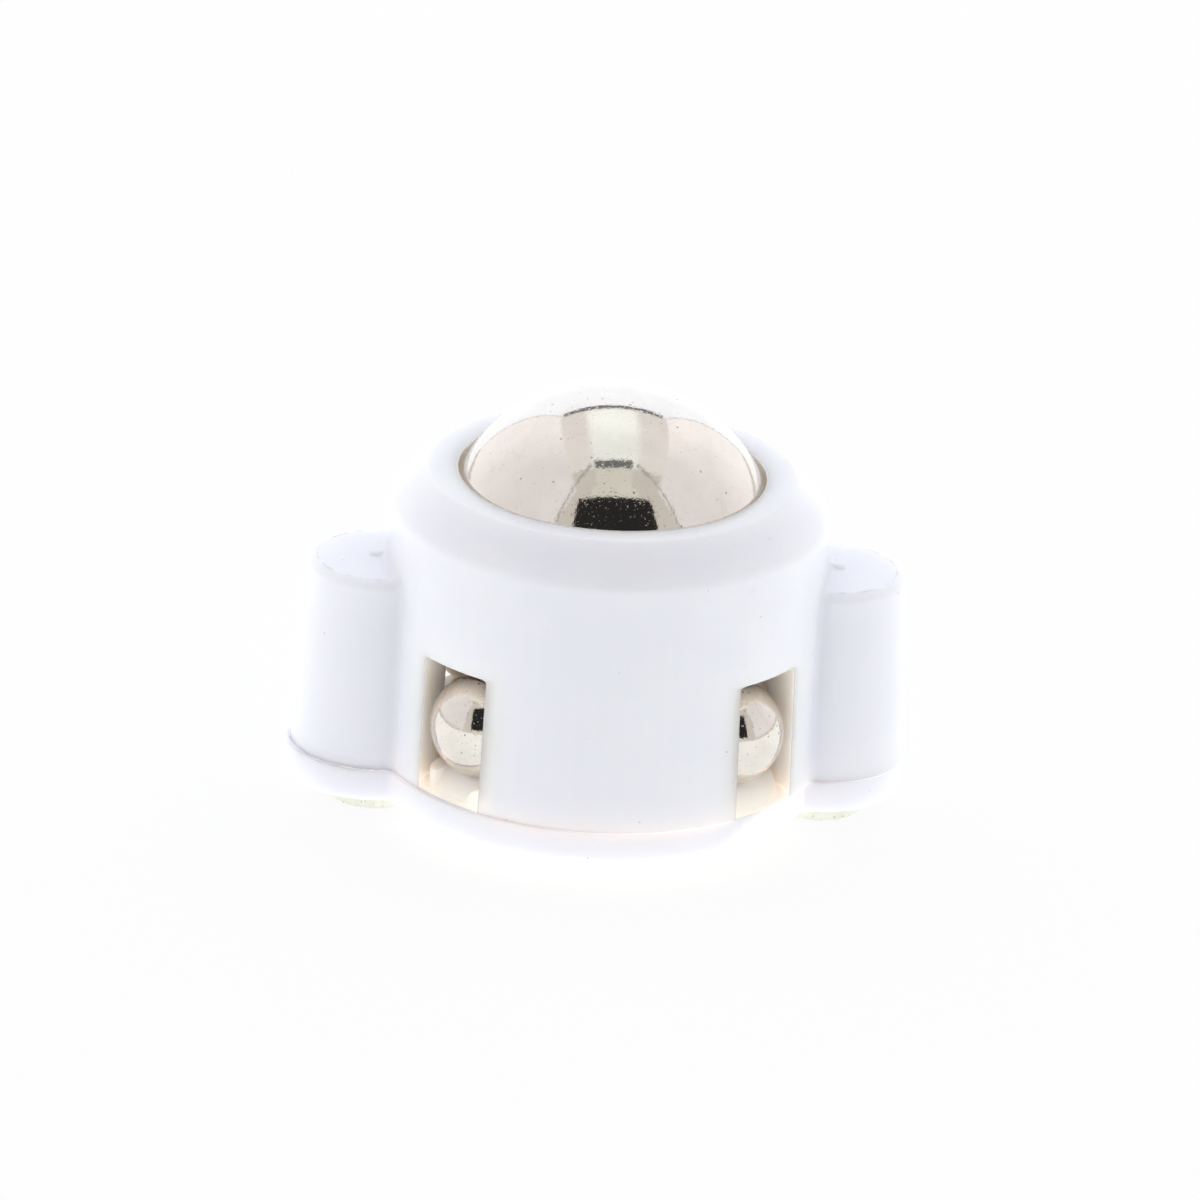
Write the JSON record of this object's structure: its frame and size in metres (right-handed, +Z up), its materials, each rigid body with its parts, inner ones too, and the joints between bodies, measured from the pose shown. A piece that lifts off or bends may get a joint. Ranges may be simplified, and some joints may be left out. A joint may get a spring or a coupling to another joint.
{
  "type": "ball castor",
  "caption": "Small ball castor: a steel ball on four smaller balls in a white moulded housing, with a base plate held by a screw in each side tower.",
  "frame": {"origin": "on the housing's axis, on the underside of the base plate", "axes": "+Z up through the main ball; +X towards the right screw tower; the pictured side faces -Y"},
  "size_m": [0.0293, 0.0212, 0.0207],
  "materials": {
    "white_plastic": "satin",
    "plate_plastic": "satin",
    "polished_steel": "polished",
    "support_steel": "polished",
    "plated_steel": "zinc plated"
  },
  "bodies": {
    "housing": {"housing": "white_plastic", "base_plate": "plate_plastic", "screw_left": "plated_steel", "screw_right": "plated_steel"},
    "main_ball": {"main_ball": "polished_steel"},
    "support_ball_front_left": {"support_ball_front_left": "support_steel"},
    "support_ball_front_right": {"support_ball_front_right": "support_steel"},
    "support_ball_rear_left": {"support_ball_rear_left": "support_steel"},
    "support_ball_rear_right": {"support_ball_rear_right": "support_steel"}
  },
  "joints": [
    {"name": "main_ball_roll", "type": "hinge", "parent": "housing", "child": "main_ball", "pos_m": [0, 0, 0.01151], "axis": [1, 0, 0], "continuous": true},
    {"name": "support_ball_front_left_roll", "type": "hinge", "parent": "housing", "child": "support_ball_front_left", "pos_m": [-0.00576, -0.00576, 0.00487], "axis": [1, 0, 0], "continuous": true},
    {"name": "support_ball_front_right_roll", "type": "hinge", "parent": "housing", "child": "support_ball_front_right", "pos_m": [0.00576, -0.00576, 0.00487], "axis": [1, 0, 0], "continuous": true},
    {"name": "support_ball_rear_left_roll", "type": "hinge", "parent": "housing", "child": "support_ball_rear_left", "pos_m": [-0.00576, 0.00576, 0.00487], "axis": [1, 0, 0], "continuous": true},
    {"name": "support_ball_rear_right_roll", "type": "hinge", "parent": "housing", "child": "support_ball_rear_right", "pos_m": [0.00576, 0.00576, 0.00487], "axis": [1, 0, 0], "continuous": true}
  ],
  "couplings": [
    {"joint": "support_ball_front_left_roll", "follows": "main_ball_roll", "ratio": -3.2},
    {"joint": "support_ball_front_right_roll", "follows": "main_ball_roll", "ratio": -3.2},
    {"joint": "support_ball_rear_left_roll", "follows": "main_ball_roll", "ratio": -3.2},
    {"joint": "support_ball_rear_right_roll", "follows": "main_ball_roll", "ratio": -3.2}
  ]
}
